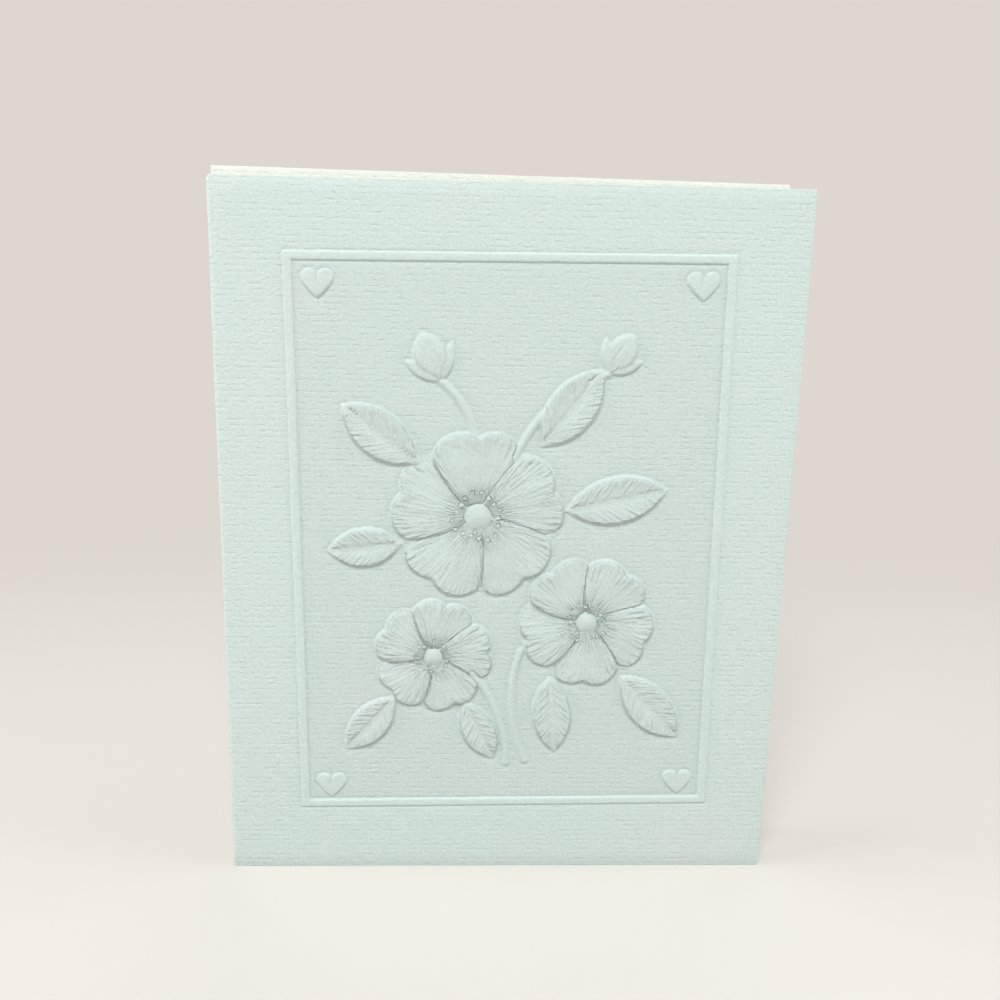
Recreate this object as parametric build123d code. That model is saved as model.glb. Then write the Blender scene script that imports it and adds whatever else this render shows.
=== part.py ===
"""Single-fold greeting card of laid paper with a blind-embossed front.

One sheet, folded once at its left edge, stands open a few degrees on its bottom edges.
The front leaf carries a raised frame band, a heart in each corner of the frame and a
spray of wild roses. All of it is pressed through the sheet, so the inside of the leaf
has the same relief sunk into it.

Millimetres. +Z is up, +X runs from the fold to the free edges as the front is looked at,
and +Y runs away from the viewer. The origin is the centre of the card's footprint.
"""
import os
from math import cos, radians, sin

from build123d import *

# Sheet
leaf_width = 101.6
leaf_height = 127.0
stock = 0.4
fold_inner_radius = 0.4
opening_angle = 6.6
rear_leaf_rise = 1.45
free_corner_radius = 0.5

# Nick in the front leaf's top edge
nick_from_fold = 24.35
nick_width = 1.4
nick_depth = 0.5

# Frame band, measured along its outer edge
frame_width = 76.9
frame_height = 102.6
band_width = 1.6
band_rise = 0.28

# The die sat a little askew and a little high on the leaf
die_turn = 0.65
die_from_fold = 51.2
die_from_bottom = 64.3

# Corner hearts
heart_width = 5.6
heart_height = 5.0
heart_rise = 0.5
heart_rim = 0.2
heart_inset_side = 4.1
heart_inset_top = 3.8
heart_inset_bottom = 2.9

# Right half of a heart's outline, in shares of half its width and half its height
heart_cleft = (0.0, 0.62)
heart_lobe = (0.55, 1.0)
heart_shoulder = (1.0, 0.22)
heart_flank = (0.62, -0.36)
heart_tip = (0.0, -1.0)

# Roses: place of the centre from the centre of the frame, radius and turn of each
roses = {
    "upper": (-5.5, 5.5, 15.5, 18.0),
    "right": (14.5, -14.5, 12.5, 52.0),
    "left": (-13.5, -21.0, 11.0, 4.0),
}
petal_count = 5
petal_rise = 0.95
petal_rim = 0.22
petal_lean = 0.05
petal_dome_place = 0.62
petal_dome_reach = 0.5
rose_eye_rise = 0.7
rose_eye_share = 0.17

# Upper half of a petal's outline, in shares of the rose's radius
petal_flank = (0.36, 0.36)
petal_shoulder = (0.70, 0.53)
petal_lip = (0.965, 0.30)
petal_notch = (0.93, 0.0)

# Leaves: place of the base, direction, length and width
leaves = [
    (-16.0, 15.0, 142.0, 17.0, 8.4),
    (-19.0, 0.5, 186.0, 13.5, 7.4),
    (5.5, 18.0, 52.0, 17.5, 8.6),
    (10.0, 6.5, 12.0, 19.0, 8.8),
    (21.0, -25.0, -48.0, 17.0, 8.2),
    (8.0, -25.0, -86.0, 15.5, 7.6),
    (-8.0, -30.0, -64.0, 13.0, 6.6),
    (-20.5, -29.0, 228.0, 14.0, 7.0),
]
leaf_rise = 0.75
leaf_rim = 0.16
midrib_drop = 0.22

# Buds: place of the base, direction, length and width
buds = [
    (17.0, 31.0, 58.0, 8.0, 5.4),
    (-12.0, 29.5, 112.0, 9.0, 6.0),
]
bud_rise = 0.85
bud_rim = 0.2
sepal_length_share = 0.8
sepal_width_share = 0.42
sepal_spread = 38.0
sepal_rise = 0.5

# Stems: start, a point on the way and end
stems = [
    ((1.0, 16.0), (7.0, 25.0), (17.0, 31.0)),
    ((-6.0, 18.0), (-7.5, 24.0), (-12.0, 29.5)),
    ((2.5, -20.0), (1.0, -31.0), (3.5, -42.0)),
    ((-6.5, -24.0), (-2.0, -32.0), (0.0, -42.5)),
]
stem_width = 1.5
stem_rise = 0.4

# How far the relief bodies reach into the sheet, so that they join it
root = 0.12

fold_outer_radius = fold_inner_radius + stock
relief_rise = max(band_rise, heart_rise, petal_rise, rose_eye_rise, leaf_rise, bud_rise, stem_rise)


def rear_frame():
    """Plane along the rear leaf's outer face, starting at the fold."""
    turn = radians(opening_angle)
    centre = Vector(fold_outer_radius, fold_outer_radius, 0)
    outward = Vector(-sin(turn), cos(turn), 0)
    return Plane(
        origin=centre + outward * fold_outer_radius,
        x_dir=(cos(turn), sin(turn), 0),
        z_dir=(0, 0, 1),
    )


def leaf_panel(width, height, edge_plane):
    """Flat leaf that runs along edge_plane's X from the fold, with rounded free corners."""
    panel = edge_plane * Pos(width / 2, 0, height / 2) * Box(width, stock, height)
    corners = panel.edges().filter_by(Axis((0, 0, 0), edge_plane.y_dir))
    free_corners = sorted(corners, key=lambda edge: edge.center().dot(edge_plane.x_dir))[-2:]
    return fillet(free_corners, free_corner_radius)


def folded_sheet():
    """Front leaf, the bend at the fold and the taller rear leaf, as one solid."""
    bend = fold_outer_radius
    front_middle = Plane(origin=(bend, stock / 2, 0))
    front = leaf_panel(leaf_width - bend, leaf_height, front_middle)

    outer = rear_frame()
    rear_middle = Plane(
        origin=outer.origin - outer.y_dir * (stock / 2),
        x_dir=outer.x_dir,
        z_dir=outer.z_dir,
    )
    rear = leaf_panel(leaf_width - bend, leaf_height + rear_leaf_rise, rear_middle)

    spine = extrude(Pos(bend, bend, 0) * bend_section(), leaf_height)
    return front + spine + rear


def bend_section():
    """Sector of a ring that the sheet follows round the fold, centred on the bend's axis."""
    inner = fold_inner_radius
    outer = fold_outer_radius
    start = 90 + opening_angle
    end = 270
    middle = (start + end) / 2

    def at(radius, angle):
        return (radius * cos(radians(angle)), radius * sin(radians(angle)))

    outline = [
        ThreePointArc(at(outer, start), at(outer, middle), at(outer, end)),
        Line(at(outer, end), at(inner, end)),
        ThreePointArc(at(inner, end), at(inner, middle), at(inner, start)),
        Line(at(inner, start), at(outer, start)),
    ]
    return make_face(outline)


def cap_sphere(x, y, top, reach, rim):
    """Sphere whose top is at height top and which falls to height rim at distance reach."""
    drop = top - rim
    radius = (reach * reach + drop * drop) / (2 * drop)
    return Pos(x, y, top - radius) * Sphere(radius)


def prism(outline, height):
    """Upright prism from just inside the sheet to well above the relief."""
    return Pos(0, 0, -root) * extrude(make_face(outline), root + height)


def ridge_section(width, rise):
    """Cross-section of a ridge: a low arch on a foot that reaches into the sheet."""
    half = width / 2
    outline = [
        Line((-half, -root), (half, -root)),
        Line((half, -root), (half, 0)),
        ThreePointArc((half, 0), (0, rise), (-half, 0)),
        Line((-half, 0), (-half, -root)),
    ]
    return make_face(outline)


def frame_band():
    """Ring of half-round section with mitred corners."""
    half_x = (frame_width - band_width) / 2
    half_y = (frame_height - band_width) / 2
    path = Polyline(
        (0, -half_y),
        (half_x, -half_y),
        (half_x, half_y),
        (-half_x, half_y),
        (-half_x, -half_y),
        (0, -half_y),
    )
    start = Plane(origin=path @ 0, x_dir=(0, 1, 0), z_dir=(1, 0, 0))
    section = ridge_section(band_width, band_rise)
    return sweep(start * section, path=path, transition=Transition.RIGHT)


def heart():
    """Puffed heart, point down, centred on its own box."""
    outline = []
    for side in (1, -1):
        def at(point):
            return (side * point[0] * heart_width / 2, point[1] * heart_height / 2)

        outline.append(ThreePointArc(at(heart_cleft), at(heart_lobe), at(heart_shoulder)))
        outline.append(ThreePointArc(at(heart_shoulder), at(heart_flank), at(heart_tip)))
    return prism(outline, heart_rise) & cap_sphere(0, 0, heart_rise, heart_width / 2, heart_rim)


def corner_hearts():
    """One heart in each inner corner of the frame."""
    side = frame_width / 2 - band_width - heart_inset_side
    high = frame_height / 2 - band_width - heart_inset_top
    low = frame_height / 2 - band_width - heart_inset_bottom
    one = heart()
    return [Pos(x, y, 0) * one for x in (-side, side) for y in (high, -low)]


def petal(radius):
    """Broad notched petal along +X, higher on one side, so that each laps over the next."""
    outline = []
    for side in (1, -1):
        def at(point):
            return (point[0] * radius, side * point[1] * radius)

        outline.append(ThreePointArc((0, 0), at(petal_flank), at(petal_shoulder)))
        outline.append(ThreePointArc(at(petal_shoulder), at(petal_lip), at(petal_notch)))
    dome = cap_sphere(
        radius * petal_dome_place, radius * petal_lean, petal_rise, radius * petal_dome_reach, petal_rim
    )
    return prism(outline, petal_rise) & dome


def rose(x, y, radius, turn):
    """Five petals round a raised eye."""
    one = petal(radius)
    pieces = [Rot(0, 0, turn + number * 360 / petal_count) * one for number in range(petal_count)]
    pieces.append(cap_sphere(0, 0, rose_eye_rise, radius * rose_eye_share, 0))
    return [Pos(x, y, 0) * piece for piece in pieces]


def lens_outline(length, width):
    """Two arcs that meet in a point at each end, from the origin along +X."""
    middle = length / 2
    return [
        ThreePointArc((0, 0), (middle, width / 2), (length, 0)),
        ThreePointArc((length, 0), (middle, -width / 2), (0, 0)),
    ]


def leaf(x, y, direction, length, width):
    """Pointed leaf of two puffed halves with the midrib sunk between them."""
    middle = length / 2
    quarter = width / 4
    ridge_radius = (quarter * quarter + midrib_drop * midrib_drop) / (2 * midrib_drop)
    ridge = Pos(middle, 0, leaf_rise - ridge_radius) * Rot(0, 90, 0) * Cylinder(ridge_radius, length)
    halves = Pos(0, quarter, 0) * ridge + Pos(0, -quarter, 0) * ridge
    arch = cap_sphere(middle, 0, leaf_rise, middle, leaf_rim)
    body = prism(lens_outline(length, width), leaf_rise) & halves & arch
    return Pos(x, y, 0) * Rot(0, 0, direction) * body


def bud(x, y, direction, length, width):
    """Closed bud held by two sepals."""
    middle = length / 2
    body = prism(lens_outline(length, width), bud_rise)
    pieces = [body & cap_sphere(middle, 0, bud_rise, middle, bud_rim)]
    sepal_length = length * sepal_length_share
    sepal = prism(lens_outline(sepal_length, width * sepal_width_share), sepal_rise)
    sepal = sepal & cap_sphere(sepal_length / 2, 0, sepal_rise, sepal_length / 2, leaf_rim)
    for side in (1, -1):
        pieces.append(Rot(0, 0, side * sepal_spread) * sepal)
    return [Pos(x, y, 0) * Rot(0, 0, direction) * piece for piece in pieces]


def stem(start, way, end):
    """Ridge along an arc."""
    path = ThreePointArc(start, way, end)
    along = path % 0
    across = Vector(0, 0, 1).cross(along)
    section = Plane(origin=start, x_dir=across, z_dir=along) * ridge_section(stem_width, stem_rise)
    return sweep(section, path=path)


def relief():
    """Everything that stands out of the front, drawn face up round the frame's centre."""
    pieces = [stem(*points) for points in stems]
    pieces += [leaf(*sizes) for sizes in leaves]
    for sizes in buds:
        pieces += bud(*sizes)
    for sizes in roses.values():
        pieces += rose(*sizes)
    pieces += corner_hearts()
    pieces.append(frame_band())
    joined = pieces[0].fuse(*pieces[1:])
    depth = 2 * (relief_rise + root)
    above_roots = Pos(0, 0, relief_rise) * Box(2 * frame_width, 2 * frame_height, depth)
    return joined & above_roots


def nick():
    """Small wedge taken out of the front leaf's top edge."""
    outline = Polyline(
        (nick_from_fold - nick_width / 2, leaf_height),
        (nick_from_fold, leaf_height - nick_depth),
        (nick_from_fold + nick_width / 2, leaf_height),
        close=True,
    )
    return extrude(Plane.XZ * make_face(outline), 2 * stock, both=True)


def card():
    """Folded sheet with its relief raised outside and sunk inside."""
    turn = radians(die_turn)
    die = Plane(origin=(die_from_fold, 0, die_from_bottom), x_dir=(cos(turn), 0, sin(turn)), z_dir=(0, -1, 0))
    raised = die.location * relief()
    sunk = Pos(0, stock, 0) * raised
    sheet = folded_sheet() + raised - sunk - nick()
    rear = rear_frame()
    rear_end = rear.origin + rear.x_dir * (leaf_width - fold_outer_radius)
    return Pos(-leaf_width / 2, -(rear_end.Y - relief_rise) / 2, 0) * sheet


os.makedirs("parts", exist_ok=True)
folded_card = card()
export_step(folded_card, "parts/folded_card.step")
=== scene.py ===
"""Greeting card of white laid paper, folded once, blind embossed and standing a little open.

The sheet is laid out flat, bent round its fold and given its thickness. Then the frame
band, the hearts and the spray of wild roses are pressed through the front leaf, as dies
press them through the real one. Named sizes are millimetres, and MM makes them metres, on
the axes of the solid model.
"""
from collections import namedtuple
from math import atan2, cos, hypot, pi, radians, sin

import bpy
import numpy as np
from mathutils import Matrix, Vector


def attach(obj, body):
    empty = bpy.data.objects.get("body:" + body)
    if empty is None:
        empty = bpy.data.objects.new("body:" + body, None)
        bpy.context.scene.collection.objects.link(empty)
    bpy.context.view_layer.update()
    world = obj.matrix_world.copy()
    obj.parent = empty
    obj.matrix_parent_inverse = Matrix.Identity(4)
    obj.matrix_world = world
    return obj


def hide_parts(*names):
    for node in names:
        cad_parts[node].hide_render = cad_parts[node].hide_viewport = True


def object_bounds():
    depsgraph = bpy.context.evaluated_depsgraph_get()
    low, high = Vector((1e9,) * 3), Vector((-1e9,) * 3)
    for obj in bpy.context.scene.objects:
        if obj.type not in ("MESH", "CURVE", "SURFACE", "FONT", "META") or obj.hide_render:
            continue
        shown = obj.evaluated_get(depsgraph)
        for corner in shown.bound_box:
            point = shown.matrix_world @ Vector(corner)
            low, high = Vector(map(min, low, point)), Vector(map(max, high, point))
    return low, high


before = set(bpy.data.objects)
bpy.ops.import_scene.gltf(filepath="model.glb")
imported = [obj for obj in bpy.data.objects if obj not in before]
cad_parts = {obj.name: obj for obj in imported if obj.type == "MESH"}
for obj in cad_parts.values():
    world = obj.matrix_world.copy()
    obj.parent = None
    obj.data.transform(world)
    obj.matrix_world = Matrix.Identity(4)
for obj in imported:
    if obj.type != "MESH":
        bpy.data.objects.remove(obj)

solid_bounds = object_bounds()

MM = 0.001

# How near counts as the same place, and how close points are merged
SLACK = 0.01
MERGE = 0.001

# Sheet, in millimetres
LEAF_WIDTH = 101.6
LEAF_HEIGHT = 127.0
STOCK = 0.4
BEND = 0.8
BEND_STEPS = 12
OPENING = 6.6
REAR_RISE = 1.45
CORNER = 0.5
CUT_EDGE = 0.1

# Nick in the front leaf's top edge
NICK_FROM_FOLD = 24.35
NICK_WIDTH = 1.4
NICK_DEPTH = 0.5

# Worn top corner of the fold: how far it reaches in, drops and goes down the sheet
WORN_REACH = 0.75
WORN_DROP = 0.7
WORN_DEPTH = 0.3

# Place and turn of the dies on the leaf
DIE_FROM_FOLD = 51.2
DIE_FROM_BOTTOM = 64.3
DIE_TURN = 0.65

# Frame band
FRAME_WIDTH = 76.9
FRAME_HEIGHT = 102.6
BAND_WIDTH = 1.6
BAND_RISE = 0.28
BAND_CROWN = 0.35

# Hearts, and how far they keep from the band
HEART_WIDTH = 5.6
HEART_HEIGHT = 5.0
HEART_RISE = 0.5
HEART_SIDE = 4.1
HEART_TOP = 3.8
HEART_BOTTOM = 2.9

# Roses: centre, radius and turn of each
ROSES = [
    (-5.5, 5.5, 15.5, 18.0),
    (14.5, -14.5, 12.5, 52.0),
    (-13.5, -21.0, 11.0, 4.0),
]
PETALS = 5
PETAL_RISE = 0.95
PETAL_HALF_ANGLE = pi / PETALS
STAMENS = 17

# Folds of a petal: place across it, from -1 to 1, and depth
PETAL_FOLDS = ((-0.62, 0.07), (-0.24, 0.10), (0.12, 0.07), (0.50, 0.11))

# Leaves: base, direction, length and width of each
LEAVES = [
    (-16.0, 15.0, 142.0, 17.0, 8.4),
    (-19.0, 0.5, 186.0, 13.5, 7.4),
    (5.5, 18.0, 52.0, 17.5, 8.6),
    (10.0, 6.5, 12.0, 19.0, 8.8),
    (21.0, -25.0, -48.0, 17.0, 8.2),
    (8.0, -25.0, -86.0, 15.5, 7.6),
    (-8.0, -30.0, -64.0, 13.0, 6.6),
    (-20.5, -29.0, 228.0, 14.0, 7.0),
]
LEAF_RISE = 0.75
VEIN_PITCH = 2.1

# Buds: base, direction, length and width of each
BUDS = [
    (17.0, 31.0, 58.0, 8.0, 5.4),
    (-12.0, 29.5, 112.0, 9.0, 6.0),
]
BUD_RISE = 0.85
SEPAL_SPREAD = 38.0
SEPAL_RISE = 0.5

# Stems: start, a point on the way and end of each
STEMS = [
    ((1.0, 16.0), (7.0, 25.0), (17.0, 31.0)),
    ((-6.0, 18.0), (-7.5, 24.0), (-12.0, 29.5)),
    ((2.5, -20.0), (1.0, -31.0), (3.5, -42.0)),
    ((-6.5, -24.0), (-2.0, -32.0), (0.0, -42.5)),
]
STEM_WIDTH = 1.5
STEM_RISE = 0.4

# Pressed edges: how far a wall reaches out of and into its form, and the dip round its foot
WALL_OUT = 0.1
WALL_IN = 0.36
BAND_WALL_OUT = 0.08
BAND_WALL_IN = 0.26
DIP = 0.16
DIP_REACH = 0.3
DIP_UNDER = 0.14
STROKE_PITCH = 0.62

# No form reaches further than this from its own place
FORM_REACH = 48.0

# Lines of the sheet's grid: those beside an edge of the band are close, and minus is outside it
FIELD_CELL = 0.93
MARGIN_CELLS = 4
BESIDE_EDGE = (-1.0, -0.55, -0.34, -0.2, -0.08, 0.03, 0.14, 0.26, 0.42)

# How far round the forms' edges the grid is divided, once more and again round the hearts
DIVIDE_FORMS = 0.9
DIVIDE_EDGES = 0.55
DIVIDE_HEARTS = 0.4

# Finish of the paper: laid ribs and the size of their breaks, felt, strokes, clouds and the panel's
# painted shade
RIB_PITCH = 1.0
RIB_BREAK = (1.3, 1.3, 0.8)
RIB_DEPTH = 0.064
RIBS_FLATTENED = 0.85
FELT_GRAIN = 0.55
FELT_DEPTH = 0.18
STROKE_DEPTH = 0.68
CLOUD_SIZE = 26.0
# Painted shade: how much darker the panel inside the frame is coloured
PANEL_PAINTED_SHADE = 0.955

# Fibres on the cut edge
FIBRE = 0.25
FIBRE_DEPTH = 0.03

# Floor and the distances over which it fades into the backdrop, in metres
FLOOR_SIZE = 12
FADE_FROM = 0.08
FADE_TO = 0.34
PALE = "#DDD7D0"

# Lamps: name, place and size in metres, and power in watts; the height that they aim at, and
# the strength of the light all round
LAMPS = (
    ("key", (-0.10, -0.62, 0.73), 0.5, 5.5),
    ("left_side", (-0.46, -0.07, 0.24), 0.36, 0.9),
    ("right_side", (0.46, -0.07, 0.24), 0.36, 0.8),
    ("back", (0.20, 0.60, 0.60), 0.9, 1.4),
)
AIM_HEIGHT = 0.06
FILL = 0.28

# Camera: place from the foot of the front's left edge, and its turns in degrees
EYE = (41.6, -179.7, 115.9)
CAMERA_TURN = 2.52
CAMERA_DOWN = 13.47
CAMERA_ROLL = 1.32
FOCAL_PIXELS = 1042.1
PICTURE_PIXELS = 1000

fold_x = solid_bounds[0][0]
front_y = solid_bounds[0][1] + PETAL_RISE * MM


def deselect_all():
    for other in bpy.context.selected_objects:
        other.select_set(False)


def make_active(piece):
    deselect_all()
    piece.select_set(True)
    bpy.context.view_layer.objects.active = piece


def select_parts(piece, kind, chosen):
    """Opens the piece in edit mode with the parts selected whose corners all pass a test."""
    make_active(piece)
    modes = {"vertices": "VERT", "edges": "EDGE", "polygons": "FACE"}
    bpy.ops.object.mode_set(mode="EDIT")
    bpy.ops.mesh.select_mode(type=modes[kind])
    bpy.ops.mesh.select_all(action="DESELECT")
    bpy.ops.object.mode_set(mode="OBJECT")
    passes = [chosen(vertex.co) for vertex in piece.data.vertices]
    for part in getattr(piece.data, kind):
        corners = [part.index] if kind == "vertices" else part.vertices
        part.select = all(passes[corner] for corner in corners)
    bpy.ops.object.mode_set(mode="EDIT")


def apply_modifier(piece, kind, settings):
    make_active(piece)
    modifier = piece.modifiers.new(kind.lower(), kind)
    for name, value in settings.items():
        setattr(modifier, name, value)
    bpy.ops.object.modifier_apply(modifier=modifier.name)


def grid_lines(first, last, half):
    """Lines of the grid along one side, from the frame's middle: close on the band's edges."""
    from_edge = np.array(BESIDE_EDGE)
    band = np.concatenate([half - from_edge, half - BAND_WIDTH + from_edge[:0:-1]])
    field_end = half - BAND_WIDTH + from_edge[0]
    cells = round(2 * field_end / FIELD_CELL)
    return np.concatenate([
        np.linspace(first, -band[0], MARGIN_CELLS + 1)[:-1],
        -band,
        np.linspace(-field_end, field_end, cells + 1),
        band[::-1],
        np.linspace(band[0], last, MARGIN_CELLS + 1)[1:],
    ])


def margin_share(line, lines):
    """0 on the leaf's edge, 1 from the band inwards."""
    low = (line - lines[0]) / (lines[MARGIN_CELLS] - lines[0])
    high = (lines[-1] - line) / (lines[-1] - lines[-1 - MARGIN_CELLS])
    return min(low, high, 1.0)


def lay_out_leaf():
    """Flat front leaf, as a grid whose lines turn with the dies and meet the leaf's own edges."""
    columns = grid_lines(BEND - DIE_FROM_FOLD, LEAF_WIDTH - DIE_FROM_FOLD, FRAME_WIDTH / 2)
    rows = grid_lines(-DIE_FROM_BOTTOM, LEAF_HEIGHT - DIE_FROM_BOTTOM, FRAME_HEIGHT / 2)
    deselect_all()
    across = len(columns) - 1
    up = len(rows) - 1
    bpy.ops.mesh.primitive_grid_add(x_subdivisions=across, y_subdivisions=up, size=1)
    card = bpy.context.object
    card.name = "folded_paper"
    for vertex in card.data.vertices:
        column = columns[round((vertex.co.x + 0.5) * across)]
        row = rows[round((vertex.co.y + 0.5) * up)]
        turn = radians(DIE_TURN) * min(margin_share(column, columns), margin_share(row, rows))
        x = DIE_FROM_FOLD + column * cos(turn) - row * sin(turn)
        z = DIE_FROM_BOTTOM + column * sin(turn) + row * cos(turn)
        vertex.co = (fold_x + x * MM, front_y, z * MM)
    return card


def nick_top_edge(card):
    """Pulls one point of the top edge down and its neighbours to the sides of the nick."""
    place = fold_x + NICK_FROM_FOLD * MM
    top = [vertex for vertex in card.data.vertices if vertex.co.z > (LEAF_HEIGHT - SLACK) * MM]
    top.sort(key=lambda vertex: abs(vertex.co.x - place))
    bottom, *sides = top[:3]
    bottom.co = (place, front_y, (LEAF_HEIGHT - NICK_DEPTH) * MM)
    for side in sides:
        way = 1 if side.co.x > place else -1
        side.co.x = place + way * NICK_WIDTH / 2 * MM


def bend_and_close(card):
    """Spins the fold's edge round the bend and draws the rear leaf out of it."""
    near = MERGE * MM
    turn = radians(OPENING)
    centre = Vector((fold_x + BEND * MM, front_y + BEND * MM, 0))
    tangent = centre + Vector((-sin(turn), cos(turn), 0)) * BEND * MM
    along = Vector((cos(turn), sin(turn), 0))

    select_parts(card, "edges", lambda co: co.x < fold_x + BEND * MM + near)
    bpy.ops.mesh.spin(steps=BEND_STEPS, angle=pi - turn, center=centre, axis=(0, 0, 1))
    bpy.ops.object.mode_set(mode="OBJECT")

    def at_tangent(co):
        return hypot(co.x - tangent.x, co.y - tangent.y) < near

    select_parts(card, "edges", at_tangent)
    reach = along * (LEAF_WIDTH - BEND) * MM
    bpy.ops.mesh.extrude_region_move(TRANSFORM_OT_translate={"value": reach})
    bpy.ops.object.mode_set(mode="OBJECT")

    def on_rear_top(co):
        away = Vector((co.x, co.y, 0)) - tangent
        return co.z > (LEAF_HEIGHT - SLACK) * MM and away.dot(along) > -near and co.y > centre.y

    select_parts(card, "edges", on_rear_top)
    bpy.ops.mesh.extrude_region_move(TRANSFORM_OT_translate={"value": (0, 0, REAR_RISE * MM)})
    bpy.ops.mesh.select_all(action="SELECT")
    bpy.ops.mesh.remove_doubles(threshold=near)
    bpy.ops.mesh.normals_make_consistent(inside=False)
    bpy.ops.object.mode_set(mode="OBJECT")
    front = next(face for face in card.data.polygons if face.center.y < front_y + near)
    if front.normal.y > 0:
        card.data.flip_normals()


def give_thickness(card):
    """Thickens the skin inwards, rounds the free corners and eases the cut edges."""
    apply_modifier(card, "SOLIDIFY", {
        "thickness": STOCK * MM,
        "offset": -1,
        "use_even_offset": True,
        "material_offset_rim": 1,
        "material_offset": 2,
    })
    turn = radians(OPENING)
    free_x = fold_x + LEAF_WIDTH * MM
    rear_reach = (BEND * (1 - sin(turn)) + (LEAF_WIDTH - BEND) * cos(turn)) * MM

    def at_free_corner(co):
        rear = co.y > front_y + 2 * BEND * MM
        top = (LEAF_HEIGHT + (REAR_RISE if rear else 0)) * MM
        edge = fold_x + rear_reach if rear else free_x
        at_end = co.z < SLACK * MM or co.z > top - SLACK * MM
        return co.x > edge - SLACK * MM and at_end

    select_parts(card, "edges", at_free_corner)
    bpy.ops.mesh.bevel(offset=CORNER * MM, segments=4, affect="EDGES")
    bpy.ops.object.mode_set(mode="OBJECT")
    apply_modifier(card, "BEVEL", {
        "width": CUT_EDGE * MM,
        "segments": 2,
        "limit_method": "ANGLE",
        "angle_limit": radians(60),
    })


def wear_fold_corner(card):
    """Rounds the top of the fold, where the card has been handled."""
    top = LEAF_HEIGHT * MM
    for vertex in card.data.vertices:
        in_from_fold = (vertex.co.x - fold_x) / MM
        if vertex.co.z > top - WORN_DEPTH * MM and in_from_fold < WORN_REACH:
            vertex.co.z -= WORN_DROP * MM * (1 - in_from_fold / WORN_REACH) ** 2


# A pressed form: where it lies and how it is turned, and what gives the depth inside it, its
# height and its strokes at points on its own axes
Form = namedtuple("Form", "place turn depth_in height strokes")


def arc(start, way, end, steps=10):
    """Points along the arc through three points."""
    (ax, ay), (bx, by), (cx, cy) = start, way, end
    cross = 2 * (ax * (by - cy) + bx * (cy - ay) + cx * (ay - by))
    a2, b2, c2 = ax * ax + ay * ay, bx * bx + by * by, cx * cx + cy * cy
    middle = np.array([
        (a2 * (by - cy) + b2 * (cy - ay) + c2 * (ay - by)) / cross,
        (a2 * (cx - bx) + b2 * (ax - cx) + c2 * (bx - ax)) / cross,
    ])
    radius = hypot(ax - middle[0], ay - middle[1])
    first, through, last = [atan2(y - middle[1], x - middle[0]) for x, y in (start, way, end)]
    through = (through - first) % (2 * pi)
    sweep = (last - first) % (2 * pi)
    if through > sweep:
        sweep -= 2 * pi
    around = first + np.linspace(0, sweep, steps + 1)
    return middle + radius * np.stack([np.cos(around), np.sin(around)], axis=1)


def mirrored_outline(*arcs):
    """Closed outline from the arcs of its upper half, which run from its start to its end."""
    upper = np.concatenate(arcs)
    return np.concatenate([upper, upper[::-1] * (1, -1)])


def distance_to(points, path):
    """Distance of each point from a run of straight pieces."""
    nearest = np.full(len(points), 1e9)
    for start, end in zip(path[:-1], path[1:]):
        way = end - start
        length = way @ way
        if length > 0:
            share = np.clip((points - start) @ way / length, 0, 1)
            gap = points - start - share[:, None] * way
            nearest = np.minimum(nearest, np.hypot(gap[:, 0], gap[:, 1]))
    return nearest


def depth_in_outline(outline):
    """How deep inside a closed outline points lie; negative outside it."""
    closed = np.concatenate([outline, outline[:1]])

    def depth(points):
        inside = np.zeros(len(points), bool)
        x, y = points[:, 0], points[:, 1]
        for (ax, ay), (bx, by) in zip(closed[:-1], closed[1:]):
            if ay != by:
                crossed = ((ay > y) != (by > y)) & (x < ax + (y - ay) * (bx - ax) / (by - ay))
                inside ^= crossed
        return np.where(inside, 1, -1) * distance_to(points, closed)

    return depth


def ramp(value, low, high):
    """0 below low, 1 above high and a soft step between."""
    share = np.clip((value - low) / (high - low), 0, 1)
    return share * share * (3 - 2 * share)


def ridge(value, width):
    """1 at zero, falling off softly to either side."""
    return np.exp(-(value / width) ** 2)


def dome(points, centre, rise, reach, rim):
    """Height of a shallow dome that falls from rise to rim over its reach."""
    away = (points[:, 0] - centre[0]) ** 2 + (points[:, 1] - centre[1]) ** 2
    return rise - (rise - rim) * away / reach ** 2


def rim_strokes(depth):
    """Engraved strokes are deepest along a form's edge and thin out towards its middle."""
    return ramp(depth, 0.15, 0.6) * (0.3 + 0.7 * ridge(np.maximum(depth - 0.9, 0), 1.6))


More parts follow.
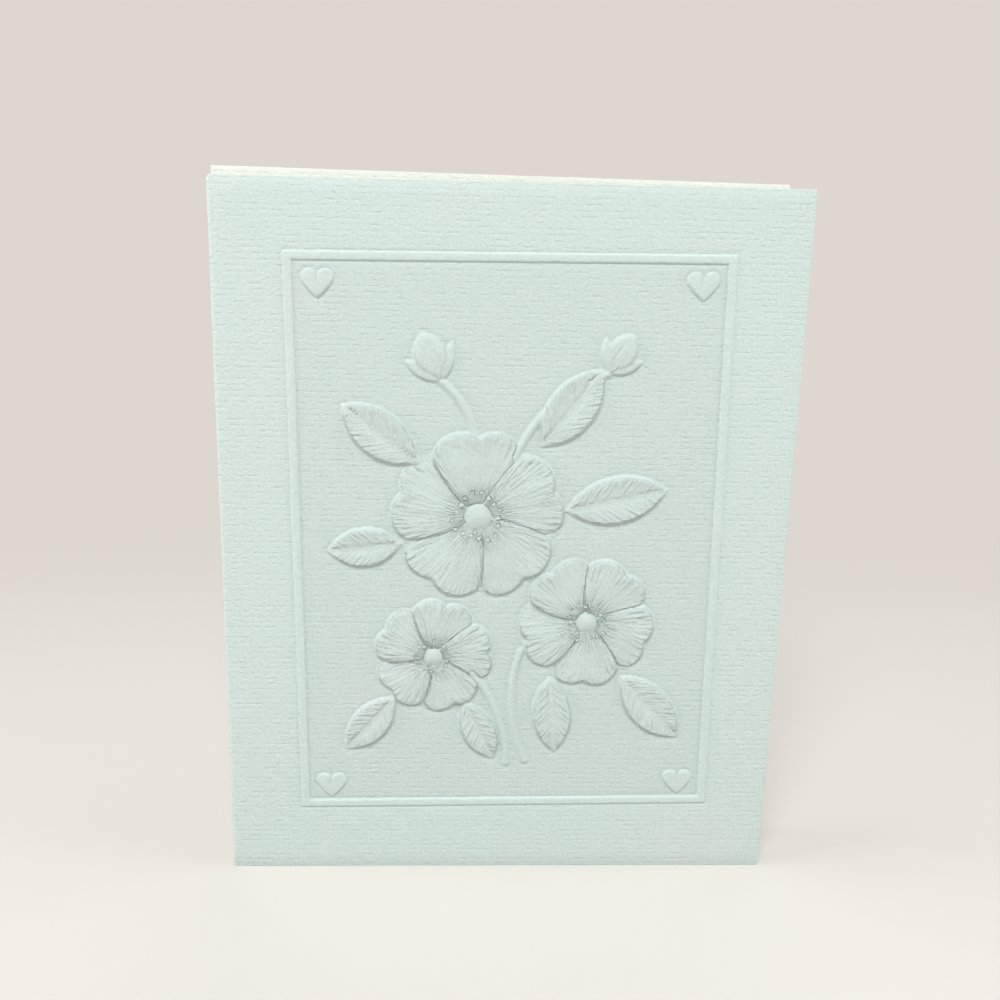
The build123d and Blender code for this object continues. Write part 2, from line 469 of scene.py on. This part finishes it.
def petal_form(centre, radius, turn, number):
    """Broad notched petal with folds, a ruffled lip and one side lapping over the next."""
    def share(x, y):
        return (x * radius, y * radius)

    outline = mirrored_outline(
        arc((0, 0), share(0.36, 0.36), share(0.70, 0.53)),
        arc(share(0.70, 0.53), share(0.965, 0.30), share(0.93, 0)),
    )
    ruffle = 1.7 * number

    def height(points, depth):
        out = np.hypot(points[:, 0], points[:, 1]) / radius
        side = np.arctan2(points[:, 1], points[:, 0]) / PETAL_HALF_ANGLE
        body = dome(points, share(0.62, 0.05), PETAL_RISE, radius * 0.5, 0.22)
        lap = 0.10 * np.tanh(2.2 * side)
        folds = sum(
            strength * ridge(side - at - 0.07 * np.sin(5 * out + number), 0.10)
            for at, strength in PETAL_FOLDS
        )
        lip = 0.07 * np.sin(side * 7.5 + ruffle) * ramp(out, 0.66, 0.9)
        rolled = 0.07 * ridge(depth - 0.75, 0.4) * ramp(out, 0.5, 0.75)
        folds = folds * ramp(out, 0.16, 0.34) * (1 - ramp(out, 0.74, 0.93))
        return (body + lap - folds + lip + rolled - 0.08) * ramp(out, 0.08, 0.26)

    def strokes(points, depth):
        out = np.hypot(points[:, 0], points[:, 1])
        angle = np.arctan2(points[:, 1], points[:, 0])
        count = angle * 0.75 * radius / STROKE_PITCH
        near_eye = 1 - ramp(out / radius, 0.34, 0.6)
        return count, out, np.maximum(rim_strokes(depth), 0.8 * near_eye * ramp(depth, 0.15, 0.6))

    return Form(centre, turn, depth_in_outline(outline), height, strokes)


def no_strokes(points, depth):
    return np.zeros(len(points)), np.zeros(len(points)), np.zeros(len(points))


def button_form(centre, radius, rise):
    """Low round button."""
    def depth(points):
        return radius - np.hypot(points[:, 0], points[:, 1])

    def height(points, depth):
        return rise * (1 - np.clip(1 - depth / radius, 0, 1) ** 2)

    return Form(centre, 0, depth, height, no_strokes)


def rose_forms(x, y, radius, turn):
    """Five petals, a ring of stamens and the raised eye."""
    forms = [
        petal_form((x, y), radius, turn + number * 360 / PETALS, number)
        for number in range(PETALS)
    ]
    for number in range(STAMENS):
        angle = radians(turn) + 2 * pi * number / STAMENS
        reach = radius * (0.27 + 0.035 * sin(5 * number))
        place = (x + reach * cos(angle), y + reach * sin(angle))
        forms.append(button_form(place, 0.034 * radius + 0.12, 0.78))
    forms.append(button_form((x, y), radius * 0.17, 0.7))
    return forms


def lens(length, width):
    """Outline of two arcs that meet in a point at each end."""
    return mirrored_outline(arc((0, 0), (length / 2, width / 2), (length, 0), 16))


def leaf_form(x, y, direction, length, width):
    """Pointed leaf of two puffed halves, with a fine midrib in the groove and side veins."""
    quarter = width / 4

    def height(points, depth):
        off_rib = np.abs(points[:, 1])
        halves = LEAF_RISE - 0.22 * ((off_rib - quarter) / quarter) ** 2
        arch = dome(points, (length / 2, 0), LEAF_RISE, length / 2, 0.16)
        arch = arch + (LEAF_RISE - 0.16) * (points[:, 1] / (length / 2)) ** 2 * 0.5
        body = np.minimum(halves, arch)
        along = points[:, 0] - 0.75 * off_rib
        vein = np.abs((along / VEIN_PITCH) % 1 - 0.5)
        veins = 0.09 * ridge(vein, 0.13) * ramp(off_rib, 0.2, 0.7) * ramp(depth, 0.35, 1.1)
        midrib = 0.13 * ridge(points[:, 1], 0.26) * ramp(length - points[:, 0], 0.5, 3)
        rolled = 0.05 * ridge(depth - 0.6, 0.3)
        return body - veins + midrib + rolled

    def strokes(points, depth):
        off_rib = np.abs(points[:, 1])
        count = (0.7 * points[:, 0] - 0.7 * off_rib) / STROKE_PITCH
        return count, off_rib, rim_strokes(depth) * ramp(off_rib, 0.3, 0.9)

    return Form((x, y), direction, depth_in_outline(lens(length, width)), height, strokes)


def bud_forms(x, y, direction, length, width):
    """Closed bud, with the edges of its rolled petals, held by two sepals."""
    def height(points, depth):
        body = dome(points, (length / 2, 0), BUD_RISE, length / 2, 0.2)
        along = np.clip(points[:, 0] / length, 0, 1)
        edges = sum(
            ridge(points[:, 1] - at * width * np.sin(pi * along), 0.22)
            for at in (-0.17, 0.12)
        )
        return body - 0.12 * edges * ramp(along, 0.15, 0.35)

    def bud_strokes(points, depth):
        return points[:, 1] / STROKE_PITCH, points[:, 0], 0.5 * rim_strokes(depth)

    forms = [Form((x, y), direction, depth_in_outline(lens(length, width)), height, bud_strokes)]
    sepal_length = 0.8 * length
    outline = lens(sepal_length, 0.42 * width)

    def sepal_height(points, depth):
        return dome(points, (sepal_length / 2, 0), SEPAL_RISE, sepal_length / 2, 0.16) + 0.1

    for side in (1, -1):
        turn = direction + side * SEPAL_SPREAD
        forms.append(Form((x, y), turn, depth_in_outline(outline), sepal_height, no_strokes))
    return forms


def stem_form(start, way, end):
    """Round-backed ridge along an arc."""
    path = arc(start, way, end, 16)
    half = STEM_WIDTH / 2

    def depth_in(points):
        return half - distance_to(points, path)

    def height(points, depth):
        return STEM_RISE * (1 - np.clip(1 - depth / half, 0, 1) ** 2) + 0.03

    return Form((0, 0), 0, depth_in, height, no_strokes)


def heart_form(x, y):
    """Puffed heart with a cleft between its lobes."""
    def share(across, up):
        return (up * HEART_HEIGHT / 2, across * HEART_WIDTH / 2)

    outline = mirrored_outline(
        arc(share(0, 0.62), share(0.55, 1.0), share(1.0, 0.22)),
        arc(share(1.0, 0.22), share(0.62, -0.36), share(0, -1.0)),
    )

    def height(points, depth):
        body = dome(points, (-0.2, 0), HEART_RISE, HEART_WIDTH / 2, 0.26)
        cleft = 0.3 * ridge(points[:, 1], 0.36) * ramp(points[:, 0], -1.4, 0.8)
        return np.maximum(body - cleft, 0.08)

    return Form((x, y), 90, depth_in_outline(outline), height, no_strokes)


def spray_forms():
    """The spray of roses, lowest forms first, placed from the frame's middle."""
    forms = [stem_form(*points) for points in STEMS]
    forms += [leaf_form(*sizes) for sizes in LEAVES]
    for sizes in BUDS:
        forms += bud_forms(*sizes)
    for sizes in ROSES:
        forms += rose_forms(*sizes)
    return forms


def heart_forms():
    """One heart in each corner of the frame, those at the bottom nearer to its band."""
    side = FRAME_WIDTH / 2 - BAND_WIDTH - HEART_SIDE
    high = FRAME_HEIGHT / 2 - BAND_WIDTH - HEART_TOP
    low = FRAME_HEIGHT / 2 - BAND_WIDTH - HEART_BOTTOM
    return [heart_form(x, y) for x in (-side, side) for y in (high, -low)]


def turned_to(form, places):
    turn = radians(form.turn)
    x = places[:, 0] - form.place[0]
    y = places[:, 1] - form.place[1]
    return np.stack([x * cos(turn) + y * sin(turn), y * cos(turn) - x * sin(turn)], axis=1)


def die_places(coordinates):
    """Leaf points, in metres, as places from the frame's middle on its turned axes."""
    turn = radians(DIE_TURN)
    x = (coordinates[:, 0] - fold_x) / MM - DIE_FROM_FOLD
    z = coordinates[:, 2] / MM - DIE_FROM_BOTTOM
    return np.stack([x * cos(turn) + z * sin(turn), z * cos(turn) - x * sin(turn)], axis=1)


def edge_gaps(forms, places):
    """Distance of each place from the nearest edge of any form, and whether it lies in one."""
    gap = np.full(len(places), 1e9)
    inside = np.zeros(len(places), bool)
    for form in forms:
        points = turned_to(form, places)
        near = np.hypot(points[:, 0], points[:, 1]) < FORM_REACH
        depth = form.depth_in(points[near])
        gap[near] = np.minimum(gap[near], np.abs(depth))
        inside[near] |= depth > 0
    return gap, inside


def divide(card, chosen):
    """Divides the chosen faces in four."""
    make_active(card)
    bpy.ops.object.mode_set(mode="EDIT")
    bpy.ops.mesh.select_mode(type="FACE")
    bpy.ops.mesh.select_all(action="DESELECT")
    bpy.ops.object.mode_set(mode="OBJECT")
    card.data.polygons.foreach_set("select", chosen)
    bpy.ops.object.mode_set(mode="EDIT")
    bpy.ops.mesh.subdivide(number_cuts=1, quadcorner="INNERVERT", ngon=False)
    bpy.ops.object.mode_set(mode="OBJECT")


def refine(card, spray, hearts):
    """Divides both faces on the forms, then the outer one along their edges and the hearts'."""
    rounds = (
        (spray + hearts, DIVIDE_FORMS, True, False),
        (spray + hearts, DIVIDE_EDGES, False, True),
        (hearts, DIVIDE_HEARTS, False, True),
    )
    for forms, reach, whole_form, outer_only in rounds:
        centres = np.array([face.center for face in card.data.polygons])
        normals = np.array([face.normal for face in card.data.polygons])
        places = die_places(centres)
        on_front = centres[:, 1] < front_y + (STOCK + SLACK) * MM
        on_front &= np.abs(normals[:, 1]) > 0.9
        on_front &= np.abs(places[:, 0]) < FRAME_WIDTH / 2
        on_front &= np.abs(places[:, 1]) < FRAME_HEIGHT / 2
        if outer_only:
            on_front &= normals[:, 1] < 0
        gap, inside = edge_gaps(forms, places)
        divide(card, on_front & ((gap < reach) | (whole_form & inside)))


def raise_forms(forms, places, on_leaf):
    """Height of the forms, the gap to the nearest of them, and the strokes on the top one."""
    count = len(places)
    raised = np.zeros(count)
    second = np.zeros(count)
    gap = np.full(count, 1e9)
    run = np.zeros((count, 2))
    stroke_depth = np.zeros(count)
    for form in forms:
        points = turned_to(form, places)
        near = np.flatnonzero(on_leaf & (np.hypot(points[:, 0], points[:, 1]) < FORM_REACH))
        depth = form.depth_in(points[near])
        gap[near] = np.minimum(gap[near], -depth)
        close = depth > -WALL_OUT
        near, depth, points = near[close], depth[close], points[near[close]]
        height = form.height(points, depth) * ramp(depth, -WALL_OUT, WALL_IN)
        over = height > raised[near]
        top, under = near[over], near[~over]
        second[top] = raised[top]
        second[under] = np.maximum(second[under], height[~over])
        raised[top] = height[over]
        across, along, strength = form.strokes(points, depth)
        run[top, 0], run[top, 1], stroke_depth[top] = across[over], along[over], strength[over]

    # The strokes fade out where two forms meet
    return raised, gap, run, stroke_depth * ramp(raised - second, 0.02, 0.14)


def raise_band(places, raised, gap):
    """Adds the frame band and the dip round every edge, and says what lies inside the frame."""
    off_centre = np.maximum(
        np.abs(places[:, 0]) - (FRAME_WIDTH - BAND_WIDTH) / 2,
        np.abs(places[:, 1]) - (FRAME_HEIGHT - BAND_WIDTH) / 2,
    )
    outside_band = np.abs(off_centre) - BAND_WIDTH / 2
    crown = 1 - BAND_CROWN * (off_centre / (BAND_WIDTH / 2)) ** 2
    band = BAND_RISE * crown * ramp(-outside_band, -BAND_WALL_OUT, BAND_WALL_IN)
    foot = np.minimum(gap - WALL_OUT, outside_band - BAND_WALL_OUT)
    dip = DIP * np.exp(-np.maximum(foot, 0) / DIP_REACH) * ramp(foot, -DIP_UNDER, 0)
    # Where the painted shade inside the frame lies
    panel_shade_mask = ramp(-off_centre, BAND_WIDTH / 2 - 0.2, BAND_WIDTH / 2 + 0.2)
    return np.minimum(np.maximum(raised, band) - dip, PETAL_RISE), panel_shade_mask


def note_for_paper(card, on_leaf, run, notes):
    """Leaves on the sheet what its paper reads: a map along the strokes and the noted shares."""
    corners = np.zeros(len(card.data.loops), int)
    card.data.loops.foreach_get("vertex_index", corners)
    while card.data.uv_layers:
        card.data.uv_layers.remove(card.data.uv_layers[0])
    layer = card.data.uv_layers.new(name="stroke_run")
    layer.data.foreach_set("uv", run[corners].ravel())
    for name, values in notes.items():
        attribute = card.data.attributes.new(name, "FLOAT", "POINT")
        attribute.data.foreach_set("value", np.where(on_leaf, values, 0))


def press(card, forms):
    """Presses the forms and the band into the front leaf."""
    coordinates = np.zeros(len(card.data.vertices) * 3)
    card.data.vertices.foreach_get("co", coordinates)
    coordinates = coordinates.reshape(-1, 3)
    on_leaf = coordinates[:, 1] < front_y + (STOCK + SLACK) * MM
    on_leaf &= coordinates[:, 0] > fold_x + BEND * MM
    places = die_places(coordinates)

    raised, gap, run, stroke_depth = raise_forms(forms, places, on_leaf)
    raised, panel_shade_mask = raise_band(places, raised, gap)
    coordinates[on_leaf, 1] -= raised[on_leaf] * MM
    card.data.vertices.foreach_set("co", coordinates.ravel())
    card.data.update()
    note_for_paper(card, on_leaf, run, {
        "stroke_depth": stroke_depth,
        "pressed": RIBS_FLATTENED * ramp(raised, 0.05, 0.2),
        "panel_shade_mask": panel_shade_mask,
    })


def linear(hex_colour):
    """Colour written as sRGB hex, as the shader wants it."""
    parts = [int(hex_colour[at:at + 2], 16) / 255 for at in (1, 3, 5)]
    return [
        part / 12.92 if part <= 0.04045 else ((part + 0.055) / 1.055) ** 2.4
        for part in parts
    ] + [1]


def add_node(material, kind, settings=None, inputs=None):
    """Adds a node, sets its options and its values, and links the inputs that are sockets."""
    node = material.node_tree.nodes.new(kind)
    for name, value in (settings or {}).items():
        setattr(node, name, value)
    for name, value in (inputs or {}).items():
        if isinstance(value, bpy.types.NodeSocket):
            material.node_tree.links.new(value, node.inputs[name])
        else:
            node.inputs[name].default_value = value
    return node


def empty_material(name):
    material = bpy.data.materials.new(name)
    material.use_nodes = True
    material.node_tree.nodes.clear()
    return material


def laid_ribs(material, place):
    """Ribs left by the laid wires, broken where fibres bridge them and flattened by the dies."""
    # A wave of scale 1 repeats every 2 pi / 20
    wires = add_node(material, "ShaderNodeTexWave", {"bands_direction": "Z"}, {
        "Vector": place,
        "Scale": 2 * pi / (20 * RIB_PITCH * MM),
        "Distortion": 0.9,
        "Detail": 2.0,
        "Detail Scale": 0.5,
    }).outputs["Fac"]
    wires = add_node(material, "ShaderNodeMapRange", {}, {
        "Value": wires,
        "From Min": 0.5,
        "From Max": 0.95,
    }).outputs["Result"]
    stretched = add_node(material, "ShaderNodeMapping", {}, {
        "Vector": place,
        "Scale": [1 / (size * MM) for size in RIB_BREAK],
    }).outputs["Vector"]
    fibres = add_node(material, "ShaderNodeTexNoise", {}, {
        "Vector": stretched,
        "Scale": 1.0,
        "Detail": 3.0,
    }).outputs["Fac"]
    fibres = add_node(material, "ShaderNodeMapRange", {}, {
        "Value": fibres,
        "From Min": 0.47,
        "From Max": 0.6,
    }).outputs["Result"]
    pressed = add_node(material, "ShaderNodeAttribute", {
        "attribute_name": "pressed",
    }).outputs["Fac"]
    left = add_node(material, "ShaderNodeMath", {"operation": "SUBTRACT"}, {
        0: 1.0,
        1: pressed,
    }).outputs[0]
    ribs = wires
    for share in (fibres, left):
        ribs = add_node(material, "ShaderNodeMath", {"operation": "MULTIPLY"}, {
            0: ribs,
            1: share,
        }).outputs[0]
    return ribs


def engraved_strokes(material):
    """Fine strokes drawn along the forms, as deep as the sheet notes them."""
    run = add_node(material, "ShaderNodeUVMap", {"uv_map": "stroke_run"}).outputs["UV"]
    drawn = add_node(material, "ShaderNodeMapping", {}, {
        "Vector": run,
        "Scale": (1.0, 0.28, 1.0),
    }).outputs["Vector"]
    strokes = add_node(material, "ShaderNodeTexNoise", {}, {
        "Vector": drawn,
        "Scale": 1.15,
        "Detail": 2.0,
        "Roughness": 0.45,
    }).outputs["Fac"]
    strength = add_node(material, "ShaderNodeAttribute", {
        "attribute_name": "stroke_depth",
    }).outputs["Fac"]
    return add_node(material, "ShaderNodeMath", {"operation": "MULTIPLY"}, {
        0: strokes,
        1: strength,
    }).outputs[0]


def paper_colour(material, place, felt, white, cloud):
    """Cool white with warmer clouds, mottled by the fibres, and with painted shade inside the
    frame.
    """
    clouds = add_node(material, "ShaderNodeTexNoise", {}, {
        "Vector": place,
        "Scale": 1 / (CLOUD_SIZE * MM),
        "Detail": 2.0,
    }).outputs["Fac"]
    cloud_share = add_node(material, "ShaderNodeMapRange", {}, {
        "Value": clouds,
        "From Min": 0.56,
        "From Max": 0.74,
        "To Max": 0.35,
    }).outputs["Result"]
    tint = add_node(material, "ShaderNodeMix", {"data_type": "RGBA"}, {
        "Factor": cloud_share,
        6: linear(white),
        7: linear(cloud),
    }).outputs[2]
    mottle = add_node(material, "ShaderNodeMapRange", {}, {
        "Value": felt,
        "From Min": 0.3,
        "From Max": 0.7,
        "To Min": 0.94,
        "To Max": 1.035,
    }).outputs["Result"]

    # Painted shade: the panel inside the frame is coloured a little darker than the margins round
    # it
    panel_shade_mask = add_node(material, "ShaderNodeAttribute", {
        "attribute_name": "panel_shade_mask",
    }).outputs["Fac"]
    painted_panel_shade = add_node(material, "ShaderNodeMapRange", {}, {
        "Value": panel_shade_mask,
        "To Min": 1.0,
        "To Max": PANEL_PAINTED_SHADE,
    }).outputs["Result"]
    shade = add_node(material, "ShaderNodeMath", {"operation": "MULTIPLY"}, {
        0: mottle,
        1: painted_panel_shade,
    }).outputs[0]
    return add_node(material, "ShaderNodeMix", {"data_type": "RGBA", "blend_type": "MULTIPLY"}, {
        "Factor": 1.0,
        6: tint,
        7: shade,
    }).outputs[2]


def laid_paper(name, white, cloud):
    """Laid cotton paper: matt, with broken level ribs a millimetre apart and a felt mottle."""
    material = empty_material(name)
    place = add_node(material, "ShaderNodeTexCoord").outputs["Object"]
    felt = add_node(material, "ShaderNodeTexNoise", {}, {
        "Vector": place,
        "Scale": 1 / (FELT_GRAIN * MM),
        "Detail": 4.0,
        "Roughness": 0.6,
    }).outputs["Fac"]

    # The ribs are furrows, with the felt and then the strokes on top of them
    normal = add_node(material, "ShaderNodeBump", {"invert": True}, {
        "Height": laid_ribs(material, place),
        "Distance": RIB_DEPTH * MM,
        "Strength": 0.8,
    }).outputs["Normal"]
    for height, depth in ((felt, FELT_DEPTH), (engraved_strokes(material), STROKE_DEPTH)):
        normal = add_node(material, "ShaderNodeBump", {}, {
            "Height": height,
            "Distance": depth * MM,
            "Strength": 1.0,
            "Normal": normal,
        }).outputs["Normal"]
    surface = add_node(material, "ShaderNodeBsdfPrincipled", {}, {
        "Base Color": paper_colour(material, place, felt, white, cloud),
        "Roughness": 0.82,
        "IOR": 1.45,
        "Specular IOR Level": 0.25,
        "Normal": normal,
    }).outputs["BSDF"]
    add_node(material, "ShaderNodeOutputMaterial", {}, {"Surface": surface})
    return material


def cut_paper_edge():
    """Guillotined edge of the same sheet: creamier than the face, dull, with fibre ends showing."""
    material = empty_material("cut_paper_edge")
    place = add_node(material, "ShaderNodeTexCoord").outputs["Object"]
    fibres = add_node(material, "ShaderNodeTexNoise", {}, {
        "Vector": place,
        "Scale": 1 / (FIBRE * MM),
        "Detail": 3.0,
    }).outputs["Fac"]
    colour = add_node(material, "ShaderNodeMix", {"data_type": "RGBA"}, {
        "Factor": fibres,
        6: linear("#E9EBDF"),
        7: linear("#F4F4EA"),
    }).outputs[2]
    bump = add_node(material, "ShaderNodeBump", {}, {
        "Height": fibres,
        "Distance": FIBRE_DEPTH * MM,
        "Strength": 0.6,
    }).outputs["Normal"]
    surface = add_node(material, "ShaderNodeBsdfPrincipled", {}, {
        "Base Color": colour,
        "Roughness": 0.9,
        "Specular IOR Level": 0.2,
        "Normal": bump,
    }).outputs["BSDF"]
    add_node(material, "ShaderNodeOutputMaterial", {}, {"Surface": surface})
    return material


def seen_directly(material):
    """1 for rays that come straight from the eye, a mirror or glass."""
    rays = add_node(material, "ShaderNodeLightPath")
    seen = rays.outputs["Is Camera Ray"]
    for name in ("Is Glossy Ray", "Is Transmission Ray"):
        seen = add_node(material, "ShaderNodeMath", {"operation": "MAXIMUM"}, {
            0: seen,
            1: rays.outputs[name],
        }).outputs[0]
    return seen


def lay_floor():
    """Pale studio floor that keeps the card's shadow and fades into the backdrop further off."""
    deselect_all()
    bpy.ops.mesh.primitive_plane_add(size=FLOOR_SIZE, location=(0, 0, 0))
    floor = bpy.context.object
    floor.name = "floor"
    material = empty_material("pale_floor")
    place = add_node(material, "ShaderNodeTexCoord").outputs["Object"]
    away = add_node(material, "ShaderNodeVectorMath", {"operation": "LENGTH"}, {
        0: place,
    }).outputs["Value"]
    far = add_node(material, "ShaderNodeMapRange", {"interpolation_type": "SMOOTHSTEP"}, {
        "Value": away,
        "From Min": FADE_FROM,
        "From Max": FADE_TO,
    }).outputs["Result"]
    seen = seen_directly(material)
    plain = add_node(material, "ShaderNodeMath", {"operation": "MULTIPLY"}, {
        0: far,
        1: seen,
    }).outputs[0]

    # It throws back less light than it shows, so that the relief keeps its shadows
    colour = add_node(material, "ShaderNodeMix", {"data_type": "RGBA"}, {
        "Factor": seen,
        6: linear("#C8C2BB"),
        7: linear("#E8E3DC"),
    }).outputs[2]
    painted = add_node(material, "ShaderNodeBsdfDiffuse", {}, {"Color": colour}).outputs["BSDF"]
    backdrop = add_node(material, "ShaderNodeEmission", {}, {
        "Color": linear(PALE),
    }).outputs["Emission"]
    surface = add_node(material, "ShaderNodeMixShader", {}, {
        0: plain,
        1: painted,
        2: backdrop,
    }).outputs[0]
    add_node(material, "ShaderNodeOutputMaterial", {}, {"Surface": surface})
    floor.data.materials.append(material)


def light_studio():
    """Soft lamp high in front, weak ones at the sides and behind, and even light all round."""
    world = bpy.data.worlds.new("studio")
    bpy.context.scene.world = world
    world.use_nodes = True
    world.node_tree.nodes.clear()
    backdrop = add_node(world, "ShaderNodeBackground", {}, {
        "Color": linear(PALE),
        "Strength": 1.0,
    }).outputs[0]
    fill = add_node(world, "ShaderNodeBackground", {}, {
        "Color": (1, 1, 1, 1),
        "Strength": FILL,
    }).outputs[0]
    both = add_node(world, "ShaderNodeMixShader", {}, {
        0: seen_directly(world),
        1: fill,
        2: backdrop,
    }).outputs[0]
    add_node(world, "ShaderNodeOutputWorld", {}, {"Surface": both})

    for name, place, size, energy in LAMPS:
        lamp = bpy.data.lights.new(name, "AREA")
        lamp.shape = "DISK"
        lamp.size = size
        lamp.energy = energy
        holder = bpy.data.objects.new(name, lamp)
        bpy.context.scene.collection.objects.link(holder)
        holder.location = place
        aim = Vector((0, 0, AIM_HEIGHT)) - holder.location
        holder.rotation_euler = aim.to_track_quat("-Z", "Y").to_euler()


def set_camera():
    """Camera in front of the card, a little to the left of its middle and looking down."""
    eye = Vector((fold_x + EYE[0] * MM, front_y + EYE[1] * MM, EYE[2] * MM))
    turn, down, roll = radians(CAMERA_TURN), radians(CAMERA_DOWN), radians(CAMERA_ROLL)
    forward = Vector((sin(turn) * cos(down), cos(turn) * cos(down), -sin(down)))
    level = Vector((cos(turn), -sin(turn), 0))
    upright = level.cross(forward)
    right = cos(roll) * level + sin(roll) * upright
    up = cos(roll) * upright - sin(roll) * level

    data = bpy.data.cameras.new("camera")
    data.sensor_width = 36
    data.lens = data.sensor_width * FOCAL_PIXELS / PICTURE_PIXELS
    data.clip_start = 0.01
    camera = bpy.data.objects.new("camera", data)
    bpy.context.scene.collection.objects.link(camera)
    axes = Matrix((right, up, -forward)).transposed()
    camera.matrix_world = Matrix.Translation(eye) @ axes.to_4x4()
    bpy.context.scene.camera = camera


card = lay_out_leaf()
card.data.materials.append(laid_paper("white_laid_paper", "#DAEBE6", "#E4E9E7"))
card.data.materials.append(cut_paper_edge())
# Painted light: the inside of the same sheet is coloured lighter than its outside, so that the rear
# leaf's strip above the front leaf shows bright
card.data.materials.append(laid_paper("inner_face_painted_lighter", "#F4F9F0", "#F6F8F0"))
nick_top_edge(card)
bend_and_close(card)
give_thickness(card)
wear_fold_corner(card)
spray, hearts = spray_forms(), heart_forms()
refine(card, spray, hearts)
press(card, spray + hearts)
make_active(card)
bpy.ops.object.shade_smooth_by_angle(angle=radians(45))
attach(card, "root")
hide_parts("folded_card")

lay_floor()
light_studio()
set_camera()
bpy.context.scene.view_settings.view_transform = "Standard"
